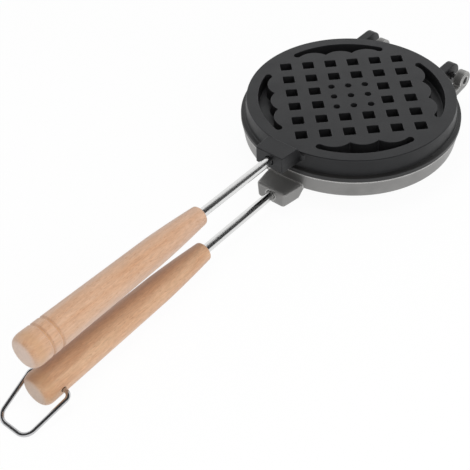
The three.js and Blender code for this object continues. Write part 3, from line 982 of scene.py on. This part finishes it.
def castingMaterial(name, values):
    material, shader, coordinates, add, links = startMaterial(name)
    cloud = mappedNoise(add, coordinates, **values["cloud"])
    grain = mappedNoise(add, coordinates, values["grainScale"], detail=values["fineDetail"])
    color = ramp(add, cloud, list(zip(noiseMiddle, (values["dark"], values["light"]))))
    if "paintedWallShade" in values:
        color = paintedLightBelowFace(add, coordinates, color, values)
    # Edges are painted brighter, partly as wear and partly as a painted highlight: there a rounded normal
    # leaves the true one.
    bevel = add("ShaderNodeBevel", [("Radius", values["edgeWearAndHighlightWidth"])], samples=values["edgeWearAndHighlightSamples"])
    trueNormal = add("ShaderNodeNewGeometry").outputs["Normal"]
    turn = vectorMaths(add, "DOT_PRODUCT", "Value", bevel.outputs["Normal"], trueNormal)
    wornAndHighlitEdge = rescaled(add, turn, *values["edgeWearAndHighlightTurn"], toMax=values["edgeWearAndHighlightShare"])
    links.new(blended(add, wornAndHighlitEdge, color, values["wornAndHighlitEdge"]), shader.inputs["Base Color"])
    links.new(rescaled(add, cloud, *noiseMiddle, *values["roughness"]), shader.inputs["Roughness"])
    streaks = mappedNoise(
        add, coordinates, values["streakScale"], values["streakStretch"], detail=values["fineDetail"],
    )
    rings = bumped(add, streaks, values["streakStrength"], values["streakHeight"])
    skinned = bumped(add, grain, values["grainStrength"], values["grainHeight"], rings)
    links.new(skinned, shader.inputs["Normal"])
    shader.inputs["Metallic"].default_value = values["metallic"]
    shader.inputs["Specular IOR Level"].default_value = values["specular"]
    shader.inputs["Specular Tint"].default_value = (*values["gloss"], 1)
    return material


rodPlating = {"base": (0.75, 0.75, 0.745), "roughness": (0.16, 0.22)}
wirePlating = {"base": (0.56, 0.56, 0.57), "roughness": (0.14, 0.20)}
turnedSteel = {"base": (0.47, 0.47, 0.48), "roughness": (0.25, 0.38)}
drawnCloud = {"scale": 120.0, "stretch": (0.15, 1, 1), "detail": 2.0}


def platedMaterial(name, values):
    material, shader, coordinates, add, links = startMaterial(name)
    cloud = mappedNoise(add, coordinates, **drawnCloud)
    links.new(rescaled(add, cloud, *noiseMiddle, *values["roughness"]), shader.inputs["Roughness"])
    shader.inputs["Base Color"].default_value = (*values["base"], 1)
    shader.inputs["Metallic"].default_value = 1
    return material


beech = {
    "figure": {"scale": 260.0, "stretch": (0.09, 1, 1), "detail": 5.0, "roughness": 0.6},
    "grain": {"scale": 1700.0, "stretch": (0.12, 1, 1), "detail": 3.0, "roughness": 0.7},
    "pores": {"scale": 1500.0, "stretch": (0.26, 1, 1), "detail": 2.0},
    "mottle": {"scale": 900.0, "stretch": (0.28, 1, 1), "detail": 4.0},
    "figureStops": (0.30, 0.66),  # where the warm wood ends and the pale wood is full
    "grainStops": [(0.32, 0.70), (0.66, 1.10)],
    "mottleStops": [(0.34, 0.86), (0.66, 1.05)],
    "endStops": [(0.3, 0.8), (0.7, 1.1)],
    "layerShare": 0.5,
    "poreStops": (0.60, 0.72),
    "poreShare": 0.6,
    "endGrain": (0.72, 0.53, 0.42),
    "line": (0.52, 0.30, 0.155),  # darker wood in the grooves and, with the figure, at the butt's shoulder
    "lineShare": 0.6,
    "fleck": (0.42, 0.21, 0.105),
    "endDepth": 0.0012,
    "buttFigure": 0.0055,
    "grooveReach": 0.001,
    "roughness": (0.42, 0.54),
    "grainStrength": 0.35,
    "grainHeight": 0.00004,
    "specular": 0.5,
    "sheen": 0.3,
    "sheenRoughness": 0.5,
}
upperBeech = {
    **beech,
    "pale": (0.63, 0.435, 0.32),
    "warm": (0.56, 0.335, 0.21),
    # partly heartwood, partly painted shade: darker and redder along the side facing the camera
    "heartAndShade": {"side": (0.0, -0.55, 0.83), "wander": 0.004, "start": 0.0425, "full": 0.0475},
    "heartAndShadeColor": (1.0, 0.93, 0.84),
    "shift": (0.0, 0.0, 0.02),
}
lowerBeech = {
    **beech,
    "pale": (0.68, 0.435, 0.27),
    "warm": (0.57, 0.305, 0.165),
    "endGrain": (0.64, 0.46, 0.34),
    # partly heartwood, partly painted shade: darker on the top side, under the upper handle, where its
    # shadow falls
    "heartAndShade": {"side": (0.0, 0.8, 0.6), "wander": 0.006, "start": 0.0115, "full": 0.0185},
    "heartAndShadeColor": (0.70, 0.58, 0.50),
    "shift": (0.03, 0.0, -0.02),
}


def band(add, along, middle, reach):
    # One at a place on the handle's length, fading to nothing at the reach.
    away = maths(add, "ABSOLUTE", maths(add, "SUBTRACT", along, middle))
    return rescaled(add, away, reach, 0.0, kind="SMOOTHSTEP")


def heartwoodAndPaintedShade(add, coordinates, figure, side, wander, start, full):
    # Heartwood and painted shade darken one side of the turning, with an edge that follows the figure.
    across = vectorMaths(add, "DOT_PRODUCT", "Value", coordinates, side)
    edge = maths(add, "MULTIPLY_ADD", figure, wander, across)
    return rescaled(add, edge, start, full, kind="SMOOTHSTEP")


def woodMaterial(name, values, butt, grooves):
    material, shader, coordinates, add, links = startMaterial(name)
    moved = add("ShaderNodeMapping", [("Vector", coordinates), ("Location", values["shift"])]).outputs[0]
    layers = ("figure", "grain", "pores", "mottle")
    figure, grain, pores, mottle = (mappedNoise(add, moved, **values[layer]) for layer in layers)
    color = ramp(add, figure, list(zip(values["figureStops"], (values["warm"], values["pale"]))))
    color = blended(add, values["layerShare"], color, ramp(add, grain, values["grainStops"]), "MULTIPLY")
    color = blended(add, values["layerShare"], color, ramp(add, mottle, values["mottleStops"]), "MULTIPLY")
    spots = rescaled(add, pores, *values["poreStops"], toMax=values["poreShare"])
    color = blended(add, spots, color, values["fleck"])
    heartAndShade = heartwoodAndPaintedShade(add, coordinates, figure, **values["heartAndShade"])
    color = blended(add, heartAndShade, color, values["heartAndShadeColor"], "MULTIPLY")
    along = add("ShaderNodeSeparateXYZ", [(0, coordinates)]).outputs["X"]
    shoulder = band(add, along, butt + values["buttFigure"], values["buttFigure"])
    color = blended(add, maths(add, "MULTIPLY", shoulder, figure), color, values["line"])
    for setback in grooves:
        line = band(add, along, butt + setback, values["grooveReach"])
        color = blended(add, maths(add, "MULTIPLY", line, values["lineShare"]), color, values["line"])
    endGrain = ramp(add, mottle, values["endStops"])
    endGrain = blended(add, values["layerShare"], (*values["endGrain"], 1), endGrain, "MULTIPLY")
    color = blended(add, band(add, along, butt, values["endDepth"]), color, endGrain)
    links.new(color, shader.inputs["Base Color"])
    links.new(rescaled(add, grain, *noiseMiddle, *values["roughness"]), shader.inputs["Roughness"])
    links.new(bumped(add, grain, values["grainStrength"], values["grainHeight"]), shader.inputs["Normal"])
    shader.inputs["Specular IOR Level"].default_value = values["specular"]
    shader.inputs["Sheen Weight"].default_value = values["sheen"]
    shader.inputs["Sheen Roughness"].default_value = values["sheenRoughness"]
    return material


plateLow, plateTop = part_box("lower_plate")[0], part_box("upper_plate")[1]
centre = Vector((plateLow[0] + lowerCasting["blockFront"], 0, (plateTop[2] + plateLow[2]) / 2))
upperButt, lowerButt = (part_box(half + "_handle")[0][0] for half in ("upper", "lower"))
darkCoating = castingMaterial("Charcoal coating", coating)
greyCasting = castingMaterial("Grey casting", bareMetal)
brightPlating = platedMaterial("Bright plating", rodPlating)
loopPlating = platedMaterial("Wire plating", wirePlating)
pinSteel = platedMaterial("Pin steel", turnedSteel)
paleBeech = woodMaterial("Pale beech", upperBeech, upperButt, handleSizes["grooves"])
warmBeech = woodMaterial("Warm beech", lowerBeech, lowerButt, ())
print("materials made")

# Pieces
# A half's own frame has its origin on the plates' axis in the parting plane, X towards the hinge
# and Z out through the half's face.
upperFrame = Matrix.Translation(centre)
lowerFrame = upperFrame @ Matrix.Rotation(math.pi, 4, "X")

tree = castingTree()
upperPlate = castPlate("Upper_Plate", upperProfile(), upperCasting, tree, darkCoating)
place(upperPlate, "upper_plate", "upper_half", darkCoating, upperFrame)
lowerPlate = castPlate("Lower_Plate", lowerProfile(), lowerCasting, tree, greyCasting)
place(lowerPlate, "lower_plate", "lower_half", greyCasting, lowerFrame)
print("plates cast")

for half, casting, where, wood in (
    ("upper", upperCasting, upperFrame, paleBeech), ("lower", lowerCasting, lowerFrame, warmBeech),
):
    place(rod(half + " rod", casting), half + "_rod", half + "_half", brightPlating, where)
    place(hingePin(half + " pin"), half + "_hinge_pin", half + "_half", pinSteel, where)
    grooves = handleSizes["grooves"] if half == "upper" else ()
    grip = handle(half + " handle", casting, grooves, *handleSizes["buttDomes"][half])
    if half == "lower":
        grip = drillLoopHoles(grip)
    place(finishShading(grip), half + "_handle", half + "_half", wood, where)
place(latchLoop("loop"), "latch_loop", "latch", loopPlating, upperFrame)
print("rods, pins, handles and loop made")

# Studio
studio = {
    "eye": (-0.4863, -0.3208, 0.4263),  # from the plate's centre
    "aim": (-0.1412, -0.0166, 0.0),
    "roll": math.radians(-2.33),
    "focalPixels": 1055,
    "framePixels": 470,
    "sensor": 36.0,  # in millimetres, as the lens is
    "nearest": 0.01,
    "shiftPixels": (-0.2, -0.15),
    "paperShade": 0.9,
    "paperRoughness": 0.9,
    "floorSize": 60.0,
    "floorDrop": 0.0001,
    "floorGlow": 0.95,  # how far the floor's shade is lifted to white where it is seen
    "skyLight": 0.52,
    "cardHeight": 1.0,
    "card": (
        (-0.6, 0.95), (0.5, 0.85), (0.62, 0.2), (0.72, -0.2), (1.3, -0.9), (5.0, -5.5), (4.0, -10.0),
        (-1.0, -10.0), (-1.5, -3.0), (-2.5, -1.0), (-7.0, 0.5), (-7.0, 4.6), (-2.0, 1.6),
    ),
    "cardShade": 0.08,
}


def studioCamera():
    camera = bpy.data.cameras.new("Camera")
    camera.sensor_width = studio["sensor"]
    camera.lens = camera.sensor_width * studio["focalPixels"] / studio["framePixels"]
    camera.shift_x, camera.shift_y = (pixels / studio["framePixels"] for pixels in studio["shiftPixels"])
    camera.clip_start = studio["nearest"]
    obj = bpy.data.objects.new("Camera", camera)
    scene.collection.objects.link(obj)
    eye = centre + Vector(studio["eye"])
    aim = centre + Vector(studio["aim"])
    turn = (aim - eye).to_track_quat("-Z", "Y").to_matrix().to_4x4()
    obj.matrix_world = Matrix.Translation(eye) @ turn @ Matrix.Rotation(studio["roll"], 4, "Z")
    scene.camera = obj


def seenRays(add):
    # One where a ray comes from the camera, a reflection or glass.
    path = add("ShaderNodeLightPath").outputs
    mirrored = maths(add, "MAXIMUM", path["Is Glossy Ray"], path["Is Transmission Ray"])
    return maths(add, "MAXIMUM", path["Is Camera Ray"], mirrored)


def flatSheet(name, corners):
    mesh = bpy.data.meshes.new(name)
    mesh.from_pydata(corners, [], [tuple(range(len(corners)))])
    obj = bpy.data.objects.new(name.replace(" ", "_"), mesh)
    scene.collection.objects.link(obj)
    return obj


def studioFloor():
    half = studio["floorSize"] / 2
    height = cadBox[0][2] - studio["floorDrop"]
    corners = [(x * half, y * half, height) for x, y in ((-1, -1), (1, -1), (1, 1), (-1, 1))]
    obj = flatSheet("Floor", corners)
    material, shader, _, add, links = startMaterial("Paper floor")
    shader.inputs["Base Color"].default_value = (*[studio["paperShade"]] * 3, 1)
    shader.inputs["Roughness"].default_value = studio["paperRoughness"]
    share = maths(add, "MULTIPLY", seenRays(add), studio["floorGlow"])
    glow = add("ShaderNodeEmission", [("Color", (1, 1, 1, 1)), ("Strength", 1.0)]).outputs[0]
    paper = add("ShaderNodeMixShader", [(0, share), (1, shader.outputs[0]), (2, glow)]).outputs[0]
    links.new(paper, material.node_tree.nodes["Material Output"].inputs["Surface"])
    obj.data.materials.append(material)


def darkCard():
    # Only reflections see it: it draws the dark line along the rods and the loop.
    obj = flatSheet("Dark Card", [(x, y, studio["cardHeight"]) for x, y in studio["card"]])
    material, shader = startMaterial("Dark card")[:2]
    shader.inputs["Base Color"].default_value = (*[studio["cardShade"]] * 3, 1)
    shader.inputs["Roughness"].default_value = 1
    obj.data.materials.append(material)
    obj.visible_camera = False
    obj.visible_diffuse = False
    obj.visible_transmission = False
    obj.visible_shadow = False


softBoxes = {
    "Key": {"position": (-0.15, -0.75, 0.5), "target": (-0.15, 0.0, 0.0), "size": (0.8, 0.5), "power": 4.0},
    "Top": {"position": (-0.15, 0.02, 1.0), "target": (-0.15, 0.02, 0.0), "size": (0.4, 0.4), "power": 3.0},
}


def softBox(name, position, target, size, power):
    light = bpy.data.lights.new(name, "AREA")
    light.shape = "RECTANGLE"
    light.size, light.size_y = size
    light.energy = power
    obj = bpy.data.objects.new(name, light)
    scene.collection.objects.link(obj)
    obj.visible_glossy = False
    obj.location = position
    obj.rotation_euler = (Vector(target) - Vector(position)).to_track_quat("-Z", "Y").to_euler()


def studioWorld():
    world = bpy.data.worlds.new("Studio")
    scene.world = world
    world.use_nodes = True
    nodes, links = world.node_tree.nodes, world.node_tree.links
    add = nodeMaker(nodes, links)
    strength = rescaled(add, seenRays(add), 0.0, 1.0, toMin=studio["skyLight"])
    links.new(strength, nodes["Background"].inputs["Strength"])
    nodes["Background"].inputs["Color"].default_value = (1, 1, 1, 1)


studioCamera()
studioFloor()
darkCard()
studioWorld()
for name, box in softBoxes.items():
    softBox(name, **box)
scene.view_settings.view_transform = "Standard"

print("studio ready")
